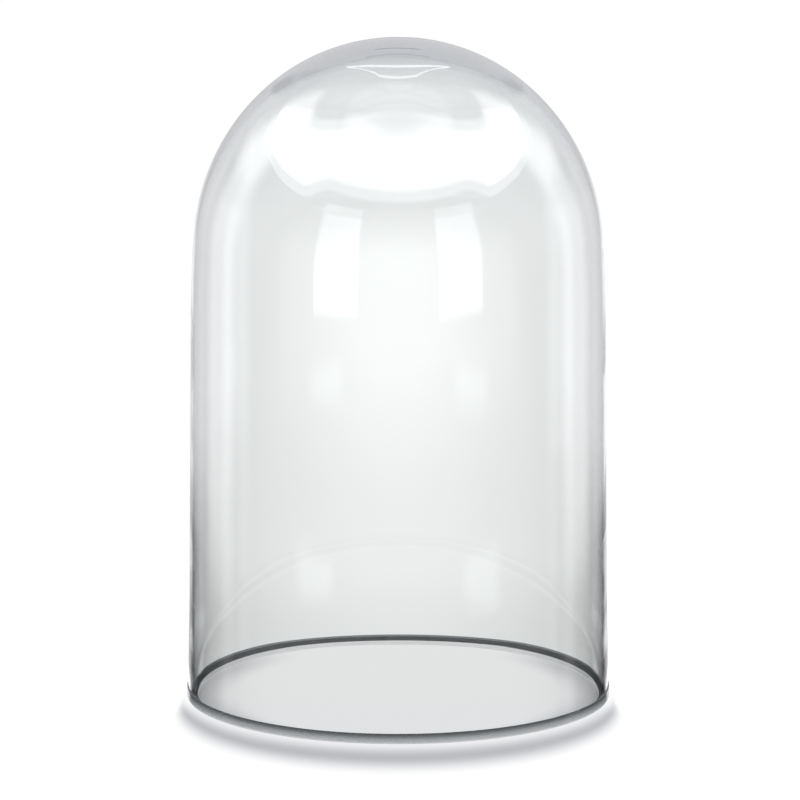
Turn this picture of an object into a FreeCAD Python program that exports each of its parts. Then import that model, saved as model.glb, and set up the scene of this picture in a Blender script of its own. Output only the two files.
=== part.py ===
import FreeCAD, Part
import math
import os

import Sketcher

# A glass bell jar dome with no base: a blown glass bell and the clear U-section ring that is pressed
# over its cut edge. Millimetres, +Z up, origin at the centre of the mouth, on the plane it stands on.

DIMENSIONS = {
    # the whole dome
    "overall_height": 400.0,
    # rim ring, a U section with a heel inside the glass
    "ring_outer_radius": 126.5,
    "ring_inner_radius": 120.6,
    "ring_height": 6.2,
    "ring_web": 1.2,
    "ring_bevel_top": 5.5,
    "ring_bevel_foot": 3.1,
    "ring_corner_radius": 0.35,
    # foot of the glass, where it sits in the ring
    "foot_outer_radius": 125.9,
    "foot_inner_radius": 123.1,
    "foot_height": 7.0,
    "flare_height": 62.0,
    # wall
    "wall_low_radius": 125.0,
    "wall_low_thickness": 2.1,
    "wall_top_radius": 124.0,
    "wall_top_thickness": 1.7,
    "haunch_height": 227.0,
    # crown: a cap on a slightly flatter shoulder outside, and inside it a lower, thicker gather of glass
    "cap_radius": 118.5,
    "cap_angle": 40.0,
    "shoulder_radius": 129.7,
    "shoulder_thickness": 1.6,
    "shoulder_drop": 4.3,
    "crown_thickness": 8.9,
    "gather_radius": 129.0,
    "gather_blend_radius": 42.0,
}

FULL_TURN = 360.0
FIRST, SECOND, CENTRE = 1, 2, 3  # a sketch's numbers for an edge's two ends and an arc's centre
GROUND = -1  # a sketch's number for its own horizontal axis
AXIS = -2  # and for its vertical one
ORIGIN = (GROUND, FIRST)
TOLERANCE = 1e-4


def make_sheet(doc):
    """The driving dimensions, one to a row, each with its name as its alias."""
    sheet = doc.addObject("Spreadsheet::Sheet", "Dims")
    for row, (name, value) in enumerate(DIMENSIONS.items(), start=1):
        sheet.set(f"A{row}", name)
        sheet.set(f"B{row}", str(value))
        sheet.setAlias(f"B{row}", name)
    doc.recompute()


class Point:
    """A point of a half section: r from the axis, z above the plane that the dome stands on."""

    def __init__(self, r, z):
        self.r, self.z = r, z

    def moved(self, direction, length):
        return Point(self.r + direction[0] * length, self.z + direction[1] * length)

    def distance(self, other):
        return math.hypot(self.r - other.r, self.z - other.z)

    def direction_to(self, other):
        length = self.distance(other)
        return (other.r - self.r) / length, (other.z - self.z) / length

    def vector(self):
        return FreeCAD.Vector(self.r, self.z, 0)


def tangent_radius(line_start, line_end, centre, radius):
    """Radius of the arc that leaves a line at line_start, square to it, and runs into a smaller circle."""
    along = line_start.direction_to(line_end)
    inward = (along[1], -along[0])
    to_centre = (centre.r - line_start.r, centre.z - line_start.z)
    reach = to_centre[0] * inward[0] + to_centre[1] * inward[1]
    gap = to_centre[0] ** 2 + to_centre[1] ** 2 - radius**2
    result = gap / (2 * (reach - radius))
    return result, line_start.moved(inward, result)


def circle_meeting(centre_a, radius_a, centre_b, radius_b):
    """The outermost point at radius_a from centre_a and at radius_b from centre_b."""
    span = centre_a.distance(centre_b)
    along = centre_a.direction_to(centre_b)
    reach = (radius_a**2 - radius_b**2 + span**2) / (2 * span)
    side = math.sqrt(radius_a**2 - reach**2)
    foot = centre_a.moved(along, reach)
    ends = [foot.moved((-along[1], along[0]), s) for s in (side, -side)]
    return max(ends, key=lambda p: p.r)


def outer_chain(d):
    """Outside of the glass: the joints of its lines and arcs, from the apex down to the cut edge."""
    apex = Point(0, d["overall_height"])
    cap_centre = Point(0, d["overall_height"] - d["cap_radius"])
    turn = math.radians(d["cap_angle"])
    outward = (math.sin(turn), math.cos(turn))
    cap_end = cap_centre.moved(outward, d["cap_radius"])
    shoulder_centre = cap_end.moved(outward, -d["shoulder_radius"])
    wall_top = Point(d["wall_top_radius"], d["haunch_height"])
    wall_low = Point(d["wall_low_radius"], d["flare_height"])
    haunch_radius, haunch_centre = tangent_radius(
        wall_top, wall_low, shoulder_centre, d["shoulder_radius"]
    )
    haunch_start = haunch_centre.moved(
        haunch_centre.direction_to(shoulder_centre), haunch_radius
    )
    foot_top = Point(d["foot_outer_radius"], d["foot_height"])
    foot = Point(d["foot_outer_radius"], d["ring_web"])
    return {
        "apex": apex,
        "cap_centre": cap_centre,
        "cap_end": cap_end,
        "shoulder_centre": shoulder_centre,
        "haunch_start": haunch_start,
        "haunch_centre": haunch_centre,
        "wall_top": wall_top,
        "wall_low": wall_low,
        "foot_top": foot_top,
        "foot": foot,
    }


def inner_chain(d, outer):
    """Inside of the glass, from the cut edge up to the middle of the thick crown."""
    shoulder_radius = d["shoulder_radius"] - d["shoulder_thickness"]
    shoulder_centre = outer["shoulder_centre"].moved((0, -1), d["shoulder_drop"])
    apex = Point(0, d["overall_height"] - d["crown_thickness"])
    gather_centre = Point(0, apex.z - d["gather_radius"])
    blend = d["gather_blend_radius"]
    blend_centre = circle_meeting(
        gather_centre, d["gather_radius"] - blend, shoulder_centre, shoulder_radius - blend
    )
    wall_top = Point(d["wall_top_radius"] - d["wall_top_thickness"], d["haunch_height"])
    wall_low = Point(d["wall_low_radius"] - d["wall_low_thickness"], d["flare_height"])
    haunch_radius, haunch_centre = tangent_radius(
        wall_top, wall_low, shoulder_centre, shoulder_radius
    )
    return {
        "apex": apex,
        "gather_centre": gather_centre,
        "gather_end": blend_centre.moved(gather_centre.direction_to(blend_centre), blend),
        "blend_centre": blend_centre,
        "blend_end": blend_centre.moved(shoulder_centre.direction_to(blend_centre), blend),
        "shoulder_centre": shoulder_centre,
        "haunch_start": haunch_centre.moved(
            haunch_centre.direction_to(shoulder_centre), haunch_radius
        ),
        "haunch_centre": haunch_centre,
        "wall_top": wall_top,
        "wall_low": wall_low,
        "foot_top": Point(d["foot_inner_radius"], d["foot_height"]),
        "foot": Point(d["foot_inner_radius"], d["ring_web"]),
    }


def new_sketch(body, name):
    """A sketch on the body's own XZ plane: its x is the radius and its y is the height."""
    plane = next(f for f in body.Origin.OriginFeatures if f.Role == "XZ_Plane")
    sketch = body.newObject("Sketcher::SketchObject", name)
    sketch.AttachmentSupport = [(plane, "")]
    sketch.MapMode = "FlatFace"
    return sketch


class Outline:
    """A closed half section, drawn edge after edge. Each edge knows which of its ends comes first."""

    def __init__(self, sketch):
        self.sketch = sketch
        self.edges = []

    def line(self, start, end):
        edge = Part.LineSegment(start.vector(), end.vector())
        index = self.sketch.addGeometry(edge, False)
        self.edges.append((index, FIRST, SECOND))
        return index

    def arc(self, centre, start, end):
        """The shorter arc from start to end. A sketch's own arcs always run anticlockwise."""
        angles = [math.atan2(p.z - centre.z, p.r - centre.r) for p in (start, end)]
        clockwise = math.sin(angles[1] - angles[0]) < 0
        if clockwise:
            angles.reverse()
        circle = Part.Circle(centre.vector(), FreeCAD.Vector(0, 0, 1), centre.distance(start))
        index = self.sketch.addGeometry(Part.ArcOfCircle(circle, *angles), False)
        self.edges.append((index, SECOND, FIRST) if clockwise else (index, FIRST, SECOND))
        return index

    def close(self, smooth):
        """Joins every edge to the next one. The joints numbered in smooth are tangent ones."""
        for number, (index, _, last) in enumerate(self.edges):
            following, first, _ = self.edges[(number + 1) % len(self.edges)]
            kind = "Tangent" if number in smooth else "Coincident"
            self.sketch.addConstraint(Sketcher.Constraint(kind, index, last, following, first))

    def start_of(self, number):
        index, first, _ = self.edges[number]
        return index, first

    def rule(self, kind, *where):
        self.sketch.addConstraint(Sketcher.Constraint(kind, *where))

    def bind(self, expression, kind, *where):
        """Adds a driving dimension and binds it to the sheet."""
        index = self.sketch.addConstraint(Sketcher.Constraint(kind, *where))
        self.sketch.setExpression(f"Constraints[{index}]", expression)

    def bind_start(self, number, radius=None, height=None):
        """Binds the start of an edge to a radius and a height, each a formula of the sheet's cells."""
        index, first = self.start_of(number)
        vertex = self.sketch.getPoint(index, first)
        if radius:
            self.bind(radius, "DistanceX", *ORIGIN, index, first, vertex.x)
        if height:
            self.bind(height, "DistanceY", *ORIGIN, index, first, vertex.y)


def revolve(body, sketch, name):
    """A full turn about the sketch's height axis."""
    turn = body.newObject("PartDesign::Revolution", name)
    turn.Profile = sketch
    turn.ReferenceAxis = (sketch, ["V_Axis"])
    turn.Angle = FULL_TURN
    return turn


def make_glass_dome(doc, d):
    """The blown bell: one wall that thins upwards, and a thick flat gather of glass at the crown."""
    body = doc.addObject("PartDesign::Body", "glass_dome")
    outline = Outline(new_sketch(body, "glass_section"))
    outer = outer_chain(d)
    inner = inner_chain(d, outer)

    cap = outline.arc(outer["cap_centre"], outer["apex"], outer["cap_end"])
    shoulder = outline.arc(outer["shoulder_centre"], outer["cap_end"], outer["haunch_start"])
    outline.arc(outer["haunch_centre"], outer["haunch_start"], outer["wall_top"])
    outline.line(outer["wall_top"], outer["wall_low"])
    outline.line(outer["wall_low"], outer["foot_top"])
    outline.line(outer["foot_top"], outer["foot"])
    outline.line(outer["foot"], inner["foot"])
    outline.line(inner["foot"], inner["foot_top"])
    outline.line(inner["foot_top"], inner["wall_low"])
    outline.line(inner["wall_low"], inner["wall_top"])
    outline.arc(inner["haunch_centre"], inner["wall_top"], inner["haunch_start"])
    inside = outline.arc(inner["shoulder_centre"], inner["haunch_start"], inner["blend_end"])
    blend = outline.arc(inner["blend_centre"], inner["blend_end"], inner["gather_end"])
    gather = outline.arc(inner["gather_centre"], inner["gather_end"], inner["apex"])
    outline.line(inner["apex"], outer["apex"])
    outline.close(smooth=(0, 1, 2, 9, 10, 11, 12))

    outline.rule("PointOnObject", cap, CENTRE, AXIS)
    outline.rule("PointOnObject", gather, CENTRE, AXIS)
    centres = (inside, CENTRE, shoulder, CENTRE)
    outline.rule("Vertical", *centres)
    outline.bind("Dims.shoulder_drop", "DistanceY", *centres, d["shoulder_drop"])
    outline.bind("Dims.cap_radius", "Radius", cap, d["cap_radius"])
    outline.bind("Dims.shoulder_radius", "Radius", shoulder, d["shoulder_radius"])
    inside_radius = d["shoulder_radius"] - d["shoulder_thickness"]
    outline.bind("Dims.shoulder_radius - Dims.shoulder_thickness", "Radius", inside, inside_radius)
    outline.bind("Dims.gather_blend_radius", "Radius", blend, d["gather_blend_radius"])
    outline.bind("Dims.gather_radius", "Radius", gather, d["gather_radius"])
    outline.rule("PointOnObject", *outline.start_of(0), AXIS)
    outline.bind_start(0, height="Dims.overall_height")
    outline.bind_start(1, radius="Dims.cap_radius * sin(Dims.cap_angle)")
    outline.bind_start(3, "Dims.wall_top_radius", "Dims.haunch_height")
    outline.bind_start(4, "Dims.wall_low_radius", "Dims.flare_height")
    outline.bind_start(5, "Dims.foot_outer_radius", "Dims.foot_height")
    outline.bind_start(6, "Dims.foot_outer_radius", "Dims.ring_web")
    outline.bind_start(7, "Dims.foot_inner_radius", "Dims.ring_web")
    outline.bind_start(8, "Dims.foot_inner_radius", "Dims.foot_height")
    outline.bind_start(9, "Dims.wall_low_radius - Dims.wall_low_thickness", "Dims.flare_height")
    outline.bind_start(10, "Dims.wall_top_radius - Dims.wall_top_thickness", "Dims.haunch_height")
    outline.rule("PointOnObject", *outline.start_of(14), AXIS)
    outline.bind_start(14, height="Dims.overall_height - Dims.crown_thickness")
    doc.recompute()
    revolve(body, outline.sketch, "blown_bell")
    return body


def make_rim_ring(doc, d):
    """The clear ring on the cut edge: two legs and a web under the glass, with a bevelled inner heel."""
    body = doc.addObject("PartDesign::Body", "rim_ring")
    outline = Outline(new_sketch(body, "ring_section"))
    corners = [
        ("ring_outer_radius", None),
        ("ring_outer_radius", "ring_height"),
        ("foot_outer_radius", "ring_height"),
        ("foot_outer_radius", "ring_web"),
        ("foot_inner_radius", "ring_web"),
        ("foot_inner_radius", "ring_bevel_top"),
        ("ring_inner_radius", "ring_bevel_foot"),
        ("ring_inner_radius", None),
    ]
    points = [Point(d[radius], d[height] if height else 0) for radius, height in corners]
    for start, end in zip(points, points[1:] + points[:1]):
        outline.line(start, end)
    outline.close(smooth=())
    for number, (radius, height) in enumerate(corners):
        outline.bind_start(number, f"Dims.{radius}", height and f"Dims.{height}")
        if not height:
            outline.rule("PointOnObject", *outline.start_of(number), GROUND)
    doc.recompute()
    revolved = revolve(body, outline.sketch, "ring_turn")
    doc.recompute()

    corner_edges = [
        f"Edge{number}"
        for number, edge in enumerate(revolved.Shape.Edges, start=1)
        if edge.BoundBox.ZMax < TOLERANCE and hasattr(edge.Curve, "Radius")
    ]
    rounded = body.newObject("PartDesign::Fillet", "rounded_foot")
    rounded.Base = (revolved, corner_edges)
    rounded.setExpression("Radius", "Dims.ring_corner_radius")
    return body


def check(doc, bodies):
    """Stops before anything is written if an object failed or a sub-part isn't one good solid."""
    for item in doc.Objects:
        if {"Invalid", "Error"} & set(item.State):
            raise RuntimeError(f"{item.Label} failed: {item.State}")
    for body in bodies:
        shape = body.Shape
        if shape.isNull() or not shape.isValid() or len(shape.Solids) != 1:
            raise RuntimeError(f"{body.Label} isn't one valid solid")


def main():
    doc = FreeCAD.newDocument("bell_jar_dome")
    make_sheet(doc)
    bodies = [make_glass_dome(doc, DIMENSIONS), make_rim_ring(doc, DIMENSIONS)]
    for body in bodies:
        body.Placement = FreeCAD.Placement()
    doc.recompute()
    check(doc, bodies)

    os.makedirs("parts", exist_ok=True)
    for body in bodies:
        body.Shape.exportStep(f"parts/{body.Label}.step")
        box = body.Shape.optimalBoundingBox()
        print(
            f"{body.Label}: {body.Shape.Volume / 1000:.1f} cm3, "
            f"{box.XLength:.2f} x {box.YLength:.2f} x {box.ZLength:.2f} mm"
        )


main()
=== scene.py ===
import math

import bmesh
import bpy
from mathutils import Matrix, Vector


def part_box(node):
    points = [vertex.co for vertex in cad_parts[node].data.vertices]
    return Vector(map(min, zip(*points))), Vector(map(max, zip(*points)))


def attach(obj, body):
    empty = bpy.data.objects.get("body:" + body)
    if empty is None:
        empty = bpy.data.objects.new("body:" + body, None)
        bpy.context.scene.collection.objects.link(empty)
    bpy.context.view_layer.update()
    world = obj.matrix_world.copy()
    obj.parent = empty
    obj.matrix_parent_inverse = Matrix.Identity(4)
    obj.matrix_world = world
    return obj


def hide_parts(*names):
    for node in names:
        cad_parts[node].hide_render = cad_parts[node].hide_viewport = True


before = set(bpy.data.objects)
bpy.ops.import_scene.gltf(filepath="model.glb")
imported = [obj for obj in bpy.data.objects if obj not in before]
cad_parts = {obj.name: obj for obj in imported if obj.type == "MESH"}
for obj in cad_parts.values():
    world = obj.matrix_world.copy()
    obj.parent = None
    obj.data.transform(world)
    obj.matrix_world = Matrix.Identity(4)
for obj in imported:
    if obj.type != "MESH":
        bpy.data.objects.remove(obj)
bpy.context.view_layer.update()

MM = 0.001
SEGMENTS = 384
SHARP_ANGLE = math.radians(28)
ARC_SPACING, LINE_SPACING = 3.0 * MM, 6.0 * MM
CHANNEL_SPACING, FACE_SPACING, CORNER_SPACING = 1.0 * MM, 0.5 * MM, 0.1 * MM

# The design's own dimensions, in metres. The heights and radii that the frame gives come from it.
dome_low, dome_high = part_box("glass_dome")
_, ring_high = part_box("rim_ring")
TOP = dome_high.z
RING_R = ring_high.x
RING_H = ring_high.z
WEB = dome_low.z
FOOT_R = dome_high.x
FOOT_T = 2.8 * MM
FOOT_INNER_R = FOOT_R - FOOT_T
FOOT_TOP = 7.0 * MM
RING_WIDTH = 5.9 * MM
RING_INNER_R = RING_R - RING_WIDTH
BEVEL_TOP = 5.5 * MM
BEVEL_FOOT = 3.1 * MM
RING_CORNER = 0.35 * MM
WALL_LOW = (125.0 * MM, 62.0 * MM)
WALL_LOW_T = 2.1 * MM
WALL_TOP = (124.0 * MM, 227.0 * MM)
WALL_TOP_T = 1.7 * MM
CAP_R = 118.5 * MM
CAP_ANGLE = math.radians(40.0)
SHOULDER_R = 129.7 * MM
SHOULDER_T = 1.6 * MM
SHOULDER_DROP = 4.3 * MM
CROWN_T = 8.9 * MM
GATHER_R = 129.0 * MM
GATHER_BLEND_R = 42.0 * MM
AIR_GAP = 0.04 * MM

# Glass and plastic.
GLASS_IOR, RING_IOR = 1.52, 1.45
GLASS_TINT = (0.985, 0.995, 0.99, 1)
ABSORBED, ABSORB_DENSITY = (0.59, 0.655, 0.672, 1), 25.0
WAVE_DEPTH, CLOUD_DEPTH = 0.25 * MM, 0.02 * MM
CLOUD_DARK, CLOUD_LIGHT = (0.95, 0.96, 0.965, 1), (1.0, 1.0, 1.0, 1)
# Painted shade for the bevel inside the ring's mouth, in two slate tones that vary at random.
SLATE_PAINTED_SHADE_DARK, SLATE_PAINTED_SHADE_LIGHT = (0.038, 0.044, 0.047, 1), (0.056, 0.064, 0.068, 1)
# Painted light and shade for the ring's outer band: painted light at its foot, painted shade at its top.
BAND_FOOT_PAINTED_LIGHT, BAND_MIDDLE_PAINTED, BAND_TOP_PAINTED_SHADE = (0.93, 0.95, 0.96, 1), (0.47, 0.505, 0.52, 1), (0.085, 0.096, 0.1, 1)

# ---------------------------------------------------------------- profiles, as (radius, height) points


def step(point, direction, length):
    return point[0] + direction[0] * length, point[1] + direction[1] * length


def heading(a, b):
    length = math.dist(a, b)
    return (b[0] - a[0]) / length, (b[1] - a[1]) / length


def tangent_arc(line_start, line_end, centre, radius):
    """Centre and radius of the arc that leaves a line at line_start and runs into a smaller circle."""
    along = heading(line_start, line_end)
    inward = (along[1], -along[0])
    to_centre = (centre[0] - line_start[0], centre[1] - line_start[1])
    reach = to_centre[0] * inward[0] + to_centre[1] * inward[1]
    result = (to_centre[0] ** 2 + to_centre[1] ** 2 - radius**2) / (2 * (reach - radius))
    return step(line_start, inward, result), result


def circle_meeting(a, radius_a, b, radius_b):
    """Where two circles meet, on the side away from the axis."""
    span = math.dist(a, b)
    along = heading(a, b)
    reach = (radius_a**2 - radius_b**2 + span**2) / (2 * span)
    side = math.sqrt(radius_a**2 - reach**2)
    foot = step(a, along, reach)
    return max((step(foot, (-along[1], along[0]), s) for s in (side, -side)), key=lambda p: p[0])


def arc_points(centre, start, end, spacing=ARC_SPACING):
    """Points from start to just short of end, along the shorter way round the centre."""
    radius = math.dist(centre, start)
    first = math.atan2(start[1] - centre[1], start[0] - centre[0])
    turn = math.atan2(end[1] - centre[1], end[0] - centre[0]) - first
    turn = math.remainder(turn, math.tau)
    count = max(2, round(abs(turn) * radius / spacing))
    return [
        step(centre, (math.cos(first + turn * i / count), math.sin(first + turn * i / count)), radius)
        for i in range(count)
    ]


def line_points(start, end, spacing=LINE_SPACING):
    """Points from start to just short of end."""
    count = max(1, round(math.dist(start, end) / spacing))
    return [step(start, heading(start, end), math.dist(start, end) * i / count) for i in range(count)]


def glass_section():
    """The glass, from the top of the crown down the outside, across the cut edge and up the inside."""
    cap_centre = (0.0, TOP - CAP_R)
    outward = (math.sin(CAP_ANGLE), math.cos(CAP_ANGLE))
    cap_end = step(cap_centre, outward, CAP_R)
    shoulder_centre = step(cap_end, outward, -SHOULDER_R)
    haunch_centre, haunch_r = tangent_arc(WALL_TOP, WALL_LOW, shoulder_centre, SHOULDER_R)
    haunch_start = step(haunch_centre, heading(haunch_centre, shoulder_centre), haunch_r)
    foot = (FOOT_R, FOOT_TOP)
    outside = arc_points(cap_centre, (0.0, TOP), cap_end)
    outside += arc_points(shoulder_centre, cap_end, haunch_start)
    outside += arc_points(haunch_centre, haunch_start, WALL_TOP)
    outside += line_points(WALL_TOP, WALL_LOW)
    outside += line_points(WALL_LOW, foot)
    outside += line_points(foot, (FOOT_R, WEB + AIR_GAP), spacing=CHANNEL_SPACING)

    in_shoulder_r = SHOULDER_R - SHOULDER_T
    in_shoulder_centre = (shoulder_centre[0], shoulder_centre[1] - SHOULDER_DROP)
    apex = (0.0, TOP - CROWN_T)
    gather_centre = (0.0, apex[1] - GATHER_R)
    blend_centre = circle_meeting(
        gather_centre, GATHER_R - GATHER_BLEND_R, in_shoulder_centre, in_shoulder_r - GATHER_BLEND_R
    )
    gather_end = step(blend_centre, heading(gather_centre, blend_centre), GATHER_BLEND_R)
    blend_end = step(blend_centre, heading(in_shoulder_centre, blend_centre), GATHER_BLEND_R)
    wall_top = (WALL_TOP[0] - WALL_TOP_T, WALL_TOP[1])
    wall_low = (WALL_LOW[0] - WALL_LOW_T, WALL_LOW[1])
    in_haunch_centre, in_haunch_r = tangent_arc(wall_top, wall_low, in_shoulder_centre, in_shoulder_r)
    in_haunch_start = step(in_haunch_centre, heading(in_haunch_centre, in_shoulder_centre), in_haunch_r)
    in_foot = (FOOT_INNER_R, FOOT_TOP)
    cut = (FOOT_R, WEB + AIR_GAP), (FOOT_INNER_R, WEB + AIR_GAP)
    inside = line_points(*cut, spacing=CHANNEL_SPACING)
    inside += line_points(cut[1], in_foot, spacing=CHANNEL_SPACING)
    inside += line_points(in_foot, wall_low)
    inside += line_points(wall_low, wall_top)
    inside += arc_points(in_haunch_centre, wall_top, in_haunch_start)
    inside += arc_points(in_shoulder_centre, in_haunch_start, blend_end)
    inside += arc_points(blend_centre, blend_end, gather_end)
    inside += arc_points(gather_centre, gather_end, apex)
    return outside + inside + [apex]


def ring_section():
    """The ring's U section, anticlockwise from its outer foot corner."""
    channel_out, channel_in = FOOT_R + AIR_GAP, FOOT_INNER_R - AIR_GAP
    bevel_low = (RING_INNER_R, BEVEL_FOOT)
    bevel_high = (channel_in, BEVEL_TOP)
    c = RING_CORNER
    points = arc_points((RING_R - c, c), (RING_R - c, 0.0), (RING_R, c), CORNER_SPACING)
    points += line_points((RING_R, c), (RING_R, RING_H - c), FACE_SPACING)
    top_corner = (RING_R - c, RING_H - c)
    points += arc_points(top_corner, (RING_R, RING_H - c), (RING_R - c, RING_H), CORNER_SPACING)
    points += [(RING_R - c, RING_H), (channel_out, RING_H)]
    points += line_points((channel_out, RING_H), (channel_out, WEB), CHANNEL_SPACING)[1:]
    points += line_points((channel_out, WEB), (channel_in, WEB), CHANNEL_SPACING)
    points += line_points((channel_in, WEB), bevel_high, CHANNEL_SPACING)
    points += line_points(bevel_high, bevel_low, FACE_SPACING)
    points += line_points(bevel_low, (RING_INNER_R, c), FACE_SPACING)
    inner_corner = (RING_INNER_R + c, c)
    points += arc_points(inner_corner, (RING_INNER_R, c), (RING_INNER_R + c, 0.0), CORNER_SPACING)
    points += [(RING_INNER_R + c, 0.0)]
    return points


# ---------------------------------------------------------------- meshes


def new_piece(name, mesh_maker):
    mesh = bpy.data.meshes.new(name)
    work = bmesh.new()
    mesh_maker(work)
    bmesh.ops.recalc_face_normals(work, faces=work.faces)
    work.to_mesh(mesh)
    work.free()
    piece = bpy.data.objects.new(name, mesh)
    bpy.context.scene.collection.objects.link(piece)
    mesh.shade_smooth()
    mesh.set_sharp_from_angle(angle=SHARP_ANGLE)
    return piece


def revolve(work, section, closed, segments=SEGMENTS):
    """Turns a section about Z. Points on the axis become one vertex each."""
    turns = [math.tau * i / segments for i in range(segments)]
    rings = []
    for radius, height in section:
        if radius < 1e-9:
            rings.append([work.verts.new((0, 0, height))] * segments)
            continue
        rings.append([work.verts.new((radius * math.cos(t), radius * math.sin(t), height)) for t in turns])
    pairs = list(zip(rings, rings[1:]))
    if closed:
        pairs.append((rings[-1], rings[0]))
    for upper, lower in pairs:
        for i in range(segments):
            j = (i + 1) % segments
            corners = list(dict.fromkeys((upper[i], upper[j], lower[j], lower[i])))
            work.faces.new(corners)


# ---------------------------------------------------------------- materials


def new_material(name):
    material = bpy.data.materials.new(name)
    material.use_nodes = True
    return material, material.node_tree, material.node_tree.nodes["Principled BSDF"]


class Maths:
    """Maths nodes of one tree, as calls that take numbers or sockets and give a socket."""

    def __init__(self, tree):
        self.tree = tree

    def node(self, kind, values, result=0, **settings):
        made = self.tree.nodes.new(kind)
        for name, value in settings.items():
            setattr(made, name, value)
        for key, value in values.items():
            if isinstance(value, bpy.types.NodeSocket):
                self.tree.links.new(value, made.inputs[key])
            else:
                made.inputs[key].default_value = value
        return made.outputs[result]

    def do(self, operation, *values):
        """One maths node."""
        return self.node("ShaderNodeMath", dict(enumerate(values)), operation=operation)

    def ramp(self, value, start, end, low=0.0, high=1.0):
        """Low before start, high past end, smooth between."""
        values = {"Value": value, "From Min": start, "From Max": end, "To Min": low, "To Max": high}
        return self.node("ShaderNodeMapRange", values, interpolation_type="SMOOTHSTEP")

    def band(self, value, start, end, soft):
        """One between start and end, nothing outside."""
        rise = self.ramp(value, start - soft, start + soft)
        return self.do("MULTIPLY", rise, self.ramp(value, end - soft, end + soft, 1.0, 0.0))

    def blend(self, share, first, second):
        """A colour between two, nearer to the second as the share grows."""
        return self.node("ShaderNodeMix", {0: share, 6: first, 7: second}, 2, data_type="RGBA")

    def total(self, first, *others):
        for other in others:
            first = self.do("ADD", first, other)
        return first

    def times(self, *factors):
        result = factors[0]
        for other in factors[1:]:
            result = self.do("MULTIPLY", result, other)
        return result


def object_place(maths):
    place = maths.node("ShaderNodeTexCoord", {}, "Object")
    return [maths.node("ShaderNodeSeparateXYZ", {0: place}, i) for i in range(3)]


def object_noise(maths, scale, detail):
    place = maths.node("ShaderNodeTexCoord", {}, "Object")
    return maths.node("ShaderNodeTexNoise", {"Vector": place, "Scale": scale, "Detail": detail})


def add_bump(maths, shader, height, distance):
    bump = maths.node("ShaderNodeBump", {"Height": height, "Distance": distance, "Strength": 1.0})
    maths.tree.links.new(bump, shader.inputs["Normal"])


def glass_material():
    """Clear glass with the slow waviness of blown glass and a faint uneven polish."""
    material, tree, shader = new_material("dome_glass")
    maths = Maths(tree)
    shader.inputs["Base Color"].default_value = GLASS_TINT
    shader.inputs["Transmission Weight"].default_value = 1.0
    shader.inputs["IOR"].default_value = GLASS_IOR
    polish = maths.ramp(object_noise(maths, scale=30.0, detail=3.0), 0.5, 0.8, low=0.0, high=0.02)
    tree.links.new(polish, shader.inputs["Roughness"])
    add_bump(maths, shader, object_noise(maths, scale=16.0, detail=1.0), WAVE_DEPTH)
    absorb = tree.nodes.new("ShaderNodeVolumeAbsorption")
    absorb.inputs["Color"].default_value = ABSORBED
    absorb.inputs["Density"].default_value = ABSORB_DENSITY
    out = tree.nodes["Material Output"]
    tree.links.new(absorb.outputs[0], out.inputs["Volume"])
    return material


def rim_material(name, transmission):
    """The ring's plastic, a little cloudy. It is clear, or satin where it lets nothing through."""
    material, tree, shader = new_material(name)
    maths = Maths(tree)
    cloud = object_noise(maths, scale=400.0, detail=3.0)
    tree.links.new(maths.blend(cloud, CLOUD_DARK, CLOUD_LIGHT), shader.inputs["Base Color"])
    shader.inputs["Transmission Weight"].default_value = transmission
    shader.inputs["IOR"].default_value = RING_IOR
    tree.links.new(maths.do("MULTIPLY_ADD", cloud, 0.2, 0.05), shader.inputs["Roughness"])
    add_bump(maths, shader, cloud, CLOUD_DEPTH)
    return material


def painted_band_material():
    """The satin outer face with its light and shade painted: slate at its top edge as painted shade, silver
    at its foot as painted light, with fine lines drawn along it.
    """
    material, tree, shader = new_material("rim_band_painted_shade")
    maths = Maths(tree)
    height = object_place(maths)[2]
    share = maths.do("DIVIDE", height, RING_H)
    streaks = maths.node(
        "ShaderNodeTexNoise", {"W": maths.times(share, 9.0), "Detail": 3.0}, noise_dimensions="1D"
    )
    wander = maths.do("MULTIPLY_ADD", streaks, 0.24, -0.12)
    # A ramp of painted light and shade up the band's height, from silver at the foot to slate at the top.
    ramp = tree.nodes.new("ShaderNodeValToRGB")
    tree.links.new(maths.total(share, wander), ramp.inputs["Fac"])
    stops = ramp.color_ramp.elements
    stops[0].position, stops[0].color = 0.05, BAND_FOOT_PAINTED_LIGHT
    stops[1].position, stops[1].color = 1.0, BAND_TOP_PAINTED_SHADE
    stops.new(0.55).color = BAND_MIDDLE_PAINTED
    tree.links.new(ramp.outputs["Color"], shader.inputs["Base Color"])
    shader.inputs["Transmission Weight"].default_value = 0.5
    shader.inputs["IOR"].default_value = RING_IOR
    tree.links.new(maths.do("MULTIPLY_ADD", streaks, 0.2, 0.04), shader.inputs["Roughness"])
    return material


def painted_shade_bevel_material():
    """The slate line inside the mouth, where the bevel hides the cut edge of the glass: painted shade, a
    dark colour for the dark line the bevel shows.
    """
    material, tree, shader = new_material("rim_bevel_painted_shade")
    maths = Maths(tree)
    grain = object_noise(maths, scale=900.0, detail=4.0)
    tree.links.new(maths.blend(grain, SLATE_PAINTED_SHADE_DARK, SLATE_PAINTED_SHADE_LIGHT), shader.inputs["Base Color"])
    tree.links.new(maths.do("MULTIPLY_ADD", grain, 0.2, 0.45), shader.inputs["Roughness"])
    return material


# ---------------------------------------------------------------- pieces

dome = new_piece("dome_shell", lambda work: revolve(work, glass_section(), closed=False))
dome.data.materials.append(glass_material())
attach(dome, "root")
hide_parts("glass_dome")

ring = new_piece("rim_ring_clear", lambda work: revolve(work, ring_section(), closed=True))
ring.data.materials.append(rim_material("clear_rim", transmission=0.9))
ring.data.materials.append(painted_shade_bevel_material())
ring.data.materials.append(painted_band_material())
ring.data.materials.append(rim_material("rim_satin", transmission=0.0))
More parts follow.
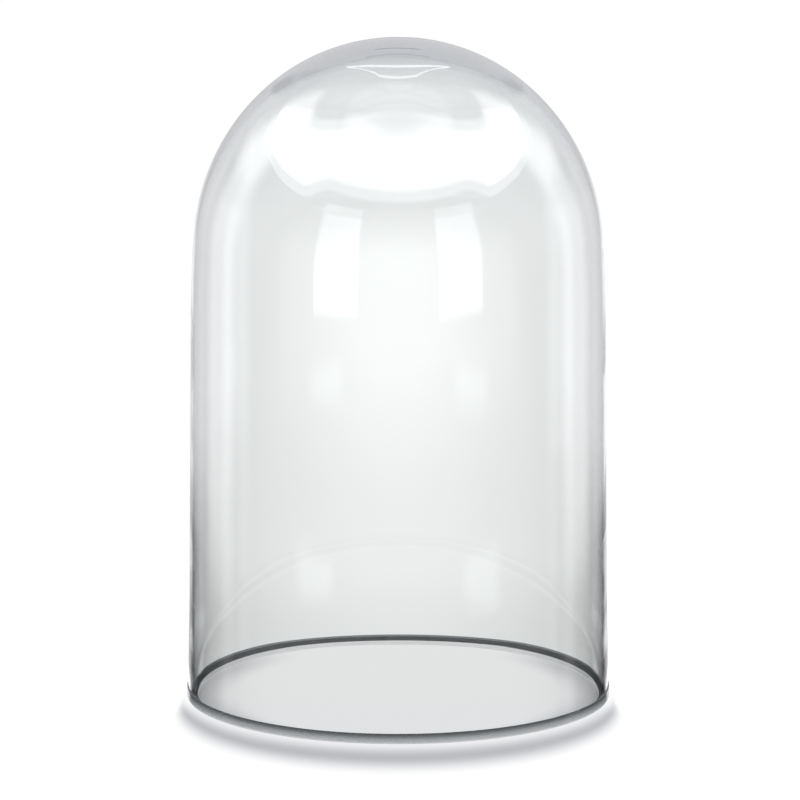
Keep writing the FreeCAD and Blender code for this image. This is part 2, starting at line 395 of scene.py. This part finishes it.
# The ring's materials, in the order just given.
CLEAR, BEVEL, BAND, UPRIGHT = range(4)
for face in ring.data.polygons:
    reach = math.hypot(*face.center.xy)
    face.material_index = CLEAR
    if reach < FOOT_INNER_R - AIR_GAP and BEVEL_FOOT < face.center.z < BEVEL_TOP:
        face.material_index = BEVEL
    elif reach < RING_INNER_R + RING_CORNER and face.center.z > 0.0:
        face.material_index = UPRIGHT
    elif reach > FOOT_R + 2 * AIR_GAP and face.center.z > RING_CORNER / 2:
        face.material_index = BAND
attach(ring, "root")
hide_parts("rim_ring")


# ---------------------------------------------------------------- stage, light and camera
# Lengths are in metres and angles in degrees, and a brightness of one is white.

FLOOR_R = 12.0
STAGE_SEGMENTS = 128
# Brightness: what lights the object, the floor and the sky seen directly, and the floor inside the ring.
BACKDROP, FLOOR_SEEN, SKY_SEEN, FLOOR_INSIDE = 0.9, 1.02, 1.05, 0.82
# The painted shade on the floor: how far forward its ellipse sits, and the ellipse's half width and half
# depth.
SHADE_BACK, SHADE_HALF_WIDTH, SHADE_HALF_DEPTH = 0.0216, 0.1284, 0.139
SHADE_TINT = (0.96, 0.97, 1.02, 1)
LIGHT_TINT = (0.99, 0.975, 1.01, 1)
SHELL_R = 1.0
SHELL_LOW, SHELL_HIGH = -0.5, 0.94
DIM, TOP_LIGHT, BOWL_LIGHT = 0.7, 3.6, 3.5
# Places on the shell: degrees from the front, heights, and x for the bar. Each is start, end, softness.
PANEL_ANGLES, PANEL_HEIGHTS = (21.5, 45.5, 0.7), (0.13, 0.86, 0.008)
PATCH_ANGLES, PATCH_HEIGHTS = (35, 54, 4), (-0.12, -0.085, 0.008)
LINE_ANGLES, SIDE_ANGLES, WING_ANGLES = (99, 109, 4), (101, 124, 6), (104, 134, 6)
FOOT_HEIGHTS = (-0.235, -0.218, 0.003)
BAR_WIDTH, BAR_HEIGHTS = (-0.1, 0.1, 0.008), (0.895, 0.93, 0.004)
# The bowl and a second bar overhead, as x and z of directions. Each is start, end, softness.
BOWL_RIM, BOWL_SIDE, BOWL_BASE = (0.768, 0.795, 0.005), (0.785, 0.895, 0.005), (0.88, 0.9, 0.005)
HIGH_BAR_WIDTH, HIGH_BAR_HEIGHTS = (-0.135, 0.135, 0.01), (0.578, 0.598, 0.003)
# How the bowl narrows with height, and the softbox's edges with the angle: start, end, value at each.
BOWL_TAPER, BOWL_SAG = (0.78, 0.9, 0.242, 0.12), 2.2
SOFTBOX_LOW, SOFTBOX_HIGH = (50, 75, 0.669, 0.52), (80, 120, 0.974, 0.766)


def path_facts(maths):
    """Whether a ray has been mirrored on its way, and whether it comes straight from the camera."""
    path = maths.tree.nodes.new("ShaderNodeLightPath")
    mirrored = maths.do("GREATER_THAN", path.outputs["Glossy Depth"], 0.5)
    return mirrored, path.outputs["Is Camera Ray"]


def show_to(tree, mirrored, shown, otherwise, out):
    """Gives mirrored rays one shader, and all other rays another."""
    mix = tree.nodes.new("ShaderNodeMixShader")
    tree.links.new(mirrored, mix.inputs[0])
    tree.links.new(otherwise, mix.inputs[1])
    tree.links.new(shown, mix.inputs[2])
    tree.links.new(mix.outputs[0], out.inputs["Surface"])


def bare_material(name):
    """An empty material for the stage, whose glow isn't sampled as a lamp."""
    material = bpy.data.materials.new(name)
    material.use_nodes = True
    material.node_tree.nodes.clear()
    material.cycles.emission_sampling = "NONE"
    tree = material.node_tree
    return material, Maths(tree), tree.nodes.new("ShaderNodeOutputMaterial")


def painted_cast_shade(maths, x, y, reach):
    """The painted soft shade forward of the ring, darkest along an ellipse a little in front of it."""
    forward = maths.do("MAXIMUM", maths.times(y, -1.0), 0.0)
    wide = maths.do("DIVIDE", x, SHADE_HALF_WIDTH)
    deep = maths.do("DIVIDE", maths.do("ADD", y, SHADE_BACK), SHADE_HALF_DEPTH)
    spread = maths.do("SQRT", maths.total(maths.times(wide, wide), maths.times(deep, deep)))
    past_ring = maths.do("SUBTRACT", reach, RING_R)
    gap = maths.do("DIVIDE", past_ring, maths.do("MULTIPLY_ADD", forward, 0.2, 0.002))
    softness = maths.do("MAXIMUM", maths.do("MULTIPLY_ADD", forward, 1.8, -0.0216), 0.02)
    fade = maths.do("DIVIDE", maths.do("SUBTRACT", spread, 1.0), softness)
    depth = maths.ramp(forward, 0.0, 0.055, 0.04, 0.5)
    return maths.times(depth, maths.ramp(gap, 0.0, 1.0, 0.3, 1.0), maths.ramp(fade, 0.0, 1.0, 1.0, 0.0))


def floor_through_glass(maths, x, y):
    """The floor as the glass passes it on, with light and shade painted on it: painted shade makes it
    greyer close behind the object, and a painted glow of light runs down its middle.
    """
    aside = maths.do("ABSOLUTE", x)
    far = maths.ramp(y, 1.3, 1.6, 1.0, 0.0)
    # Painted light: a glow down the middle and a paler strip further back. Painted shade: greyer close
    # behind the object.
    glow = maths.times(maths.ramp(aside, 0.01, 0.09, 1.0, 0.0), maths.ramp(y, 0.35, 1.0, 0.08, 0.16), far)
    pale = maths.times(maths.ramp(aside, 0.075, 0.1, 1.0, 0.0), maths.ramp(y, 0.5, 1.0, 0.0, 0.07), far)
    grey = maths.ramp(y, 0.15, 0.35, -0.09, -0.005)
    behind = maths.times(maths.ramp(y, 0.0, 0.15), maths.ramp(aside, 0.115, 0.2, 1.0, 0.0))
    return maths.do("MULTIPLY_ADD", behind, maths.total(glow, pale, grey), BACKDROP)


def make_floor():
    """A white floor with a painted shade of the object on it. Mirrored rays pass through it to the
    surround.
    """

    def disc(work):
        bmesh.ops.create_circle(work, cap_ends=True, radius=FLOOR_R, segments=STAGE_SEGMENTS)

    floor = new_piece("floor", disc)
    material, maths, out = bare_material("floor_white")
    mirrored, seen = path_facts(maths)
    x, y, _ = object_place(maths)
    reach = maths.do("SQRT", maths.total(maths.times(x, x), maths.times(y, y)))
    aside = maths.do("DIVIDE", maths.do("ABSOLUTE", x), reach)
    # Painted shade on the floor inside the ring, darker towards the wall at the left and right.
    painted_side_shade = maths.times(maths.ramp(reach, 0.095, RING_INNER_R), maths.ramp(aside, 0.5, 0.95), 0.3)
    inside = maths.do("SUBTRACT", FLOOR_INSIDE, painted_side_shade)
    within = maths.do("LESS_THAN", reach, RING_INNER_R)
    through = floor_through_glass(maths, x, y)
    open_floor = maths.node("ShaderNodeMix", {0: seen, 2: through, 3: FLOOR_SEEN}, 0)
    shade = painted_cast_shade(maths, x, y, reach)
    plain = maths.do("SUBTRACT", open_floor, shade)
    level = maths.node("ShaderNodeMix", {0: within, 2: plain, 3: inside}, 0)
    # The painted shade, in front of the ring and inside it, is tinted cool.
    painted_shade_cool = maths.times(maths.total(shade, maths.times(painted_side_shade, within)), 2.0)
    tint = maths.blend(painted_shade_cool, (1, 1, 1, 1), SHADE_TINT)
    glow = maths.node("ShaderNodeEmission", {"Color": tint, "Strength": level})
    clear = maths.node("ShaderNodeBsdfTransparent", {})
    show_to(maths.tree, mirrored, clear, glow, out)
    floor.data.materials.append(material)


def from_front(maths, x, y):
    """Degrees round the object from its front, the same to the left and to the right."""
    return maths.do("DEGREES", maths.do("ARCTAN2", maths.do("ABSOLUTE", x), maths.times(y, -1.0)))


def from_near_side(maths, height):
    """One for a ray from the dome's side that faces this place, nothing for one that grazes past it."""
    length = maths.node("ShaderNodeLightPath", {}, "Ray Length")
    climb = maths.do("SUBTRACT", height, WALL_TOP[1] + CAP_R)
    across = maths.do("SUBTRACT", maths.times(length, length), maths.times(climb, climb))
    return maths.ramp(across, 0.86, 0.94, 1.0, 0.0)


def seen_in_outside(maths):
    """One for what the outside of the glass mirrors, nothing for what its inside does."""
    return maths.do("LESS_THAN", maths.node("ShaderNodeLightPath", {}, "Transmission Depth"), 0.5)


def studio_light(maths, x, y, height):
    """How bright the surround is, from its height and from the angle between a place and the front."""
    angle = from_front(maths, x, y)
    rise = maths.ramp(height, -0.15, -0.06)
    base = maths.total(maths.times(rise, 0.5), maths.ramp(height, 0.05, 0.5, low=0.0, high=0.2))
    front = maths.times(maths.ramp(angle, 60, 125, low=0.5, high=0.0), maths.do("SUBTRACT", 1.0, rise))
    low_side = maths.ramp(height, -0.16, -0.1, low=0.05, high=0.45)
    side = maths.times(maths.band(angle, *SIDE_ANGLES), maths.do("MULTIPLY_ADD", rise, 0.2, low_side))
    line = maths.times(maths.band(angle, *LINE_ANGLES), 0.3)
    wing = maths.times(maths.band(angle, *WING_ANGLES), maths.ramp(height, 0.52, 0.72, low=0.0, high=1.3))
    back = maths.times(maths.ramp(angle, 150, 160), maths.do("MULTIPLY_ADD", rise, -0.25, 0.75))
    back = maths.times(back, maths.ramp(height, 0.1, 0.3, low=1.0, high=0.0))
    foot = maths.times(maths.ramp(angle, 150, 158), maths.band(height, *FOOT_HEIGHTS), 0.8)
    panels = maths.times(maths.band(angle, *PANEL_ANGLES), maths.band(height, *PANEL_HEIGHTS), 1.6)
    panels = maths.times(panels, from_near_side(maths, height))
    patches = maths.times(maths.band(angle, *PATCH_ANGLES), maths.band(height, *PATCH_HEIGHTS), 0.9)
    bar = maths.times(maths.band(height, *BAR_HEIGHTS), maths.band(x, *BAR_WIDTH), -DIM)
    bar = maths.times(bar, seen_in_outside(maths), maths.do("GREATER_THAN", y, 0.0))
    return maths.total(front, side, line, wing, back, foot, base, panels, patches, bar)


def make_surround():
    """A shell round the object that only mirrored rays see: what its glass reflects."""
    upright = ((SHELL_R, SHELL_LOW), (SHELL_R, SHELL_HIGH))
    shell = new_piece("studio_surround", lambda work: revolve(work, upright, False, STAGE_SEGMENTS))
    material, maths, out = bare_material("studio_surround")
    mirrored, _ = path_facts(maths)
    light = studio_light(maths, *object_place(maths))
    glow = maths.node("ShaderNodeEmission", {"Color": LIGHT_TINT, "Strength": light})
    clear = maths.node("ShaderNodeBsdfTransparent", {})
    show_to(maths.tree, mirrored, glow, clear, out)
    shell.data.materials.append(material)


def bowl_outline(maths, x, z):
    """The bright outline of a shallow bowl, high behind the object, which the crown reflects."""
    aside = maths.do("ABSOLUTE", x)
    level = maths.total(z, maths.times(x, x, BOWL_SAG))
    edge = maths.do("SUBTRACT", aside, maths.ramp(level, *BOWL_TAPER))
    within = maths.ramp(edge, -0.005, 0.005, 1.0, 0.0)
    rim = maths.times(maths.band(level, *BOWL_RIM), within)
    base = maths.times(maths.band(level, *BOWL_BASE), within)
    sides = maths.times(maths.band(edge, -0.018, 0.004, 0.004), maths.band(level, *BOWL_SIDE))
    return maths.times(maths.do("MAXIMUM", maths.do("MAXIMUM", rim, base), sides), BOWL_LIGHT)


def overhead_light(maths):
    """How bright the studio is above the shell: a softbox, the ceiling and small shapes at the back."""
    direction = maths.node("ShaderNodeTexCoord", {}, "Generated")
    x, y, z = (maths.node("ShaderNodeSeparateXYZ", {0: direction}, i) for i in range(3))
    angle = from_front(maths, x, y)
    over_low = maths.do("SUBTRACT", z, maths.ramp(angle, *SOFTBOX_LOW))
    over_high = maths.do("SUBTRACT", z, maths.ramp(angle, *SOFTBOX_HIGH))
    open_back = maths.ramp(angle, 132, 145, 1.0, 0.0)
    softbox = maths.times(maths.ramp(over_low, -0.02, 0.02), maths.ramp(over_high, -0.03, 0.03, 1.0, 0.0))
    softbox = maths.times(softbox, open_back, TOP_LIGHT - DIM)
    ceiling = maths.ramp(z, 0.9, 0.93, 0.0, 0.9)
    past_top = maths.do("SUBTRACT", y, maths.times(x, x))
    inner = maths.ramp(maths.do("ABSOLUTE", x), 0.35, 0.5, 0.5, 0.0)
    crown = maths.times(maths.band(past_top, 0.03, 0.36, 0.06), inner)
    at_back = maths.times(seen_in_outside(maths), maths.ramp(y, 0.3, 0.4))
    bowl = maths.times(bowl_outline(maths, x, z), at_back)
    bar = maths.times(maths.band(z, *HIGH_BAR_HEIGHTS), maths.band(x, *HIGH_BAR_WIDTH), at_back, -DIM)
    return maths.total(softbox, ceiling, crown, bowl, bar, DIM)


def make_world():
    """The studio overhead as the glass mirrors it, and plain white for all other rays."""
    world = bpy.data.worlds.new("studio")
    bpy.context.scene.world = world
    world.use_nodes = True
    maths = Maths(world.node_tree)
    out = world.node_tree.nodes["World Output"]
    mirrored, seen = path_facts(maths)
    white = maths.node("ShaderNodeMix", {0: seen, 2: BACKDROP, 3: SKY_SEEN}, 0)
    reflected = maths.node("ShaderNodeBackground", {"Color": LIGHT_TINT, "Strength": overhead_light(maths)})
    plain = maths.node("ShaderNodeBackground", {"Color": (1, 1, 1, 1), "Strength": white})
    show_to(maths.tree, mirrored, reflected, plain, out)


def make_camera():
    """A long lens, far off and a little above the object."""
    distance, elevation, aim = 12.0, math.radians(12.845), Vector((0.0011, 0, 0.18075))
    camera = bpy.data.cameras.new("camera")
    camera.lens = 903.3
    camera.sensor_width = 36.0
    camera.clip_end = 100.0
    holder = bpy.data.objects.new("camera", camera)
    back = Vector((0, -math.cos(elevation), math.sin(elevation)))
    holder.location = aim + back * distance
    holder.rotation_mode = "QUATERNION"
    holder.rotation_quaternion = (-back).to_track_quat("-Z", "Y")
    bpy.context.scene.collection.objects.link(holder)
    bpy.context.scene.camera = holder


make_floor()
make_surround()
make_world()
make_camera()
scene = bpy.context.scene
scene.view_settings.view_transform = "Standard"
scene.cycles.max_bounces = 48
scene.cycles.transmission_bounces = 48
scene.cycles.glossy_bounces = 32
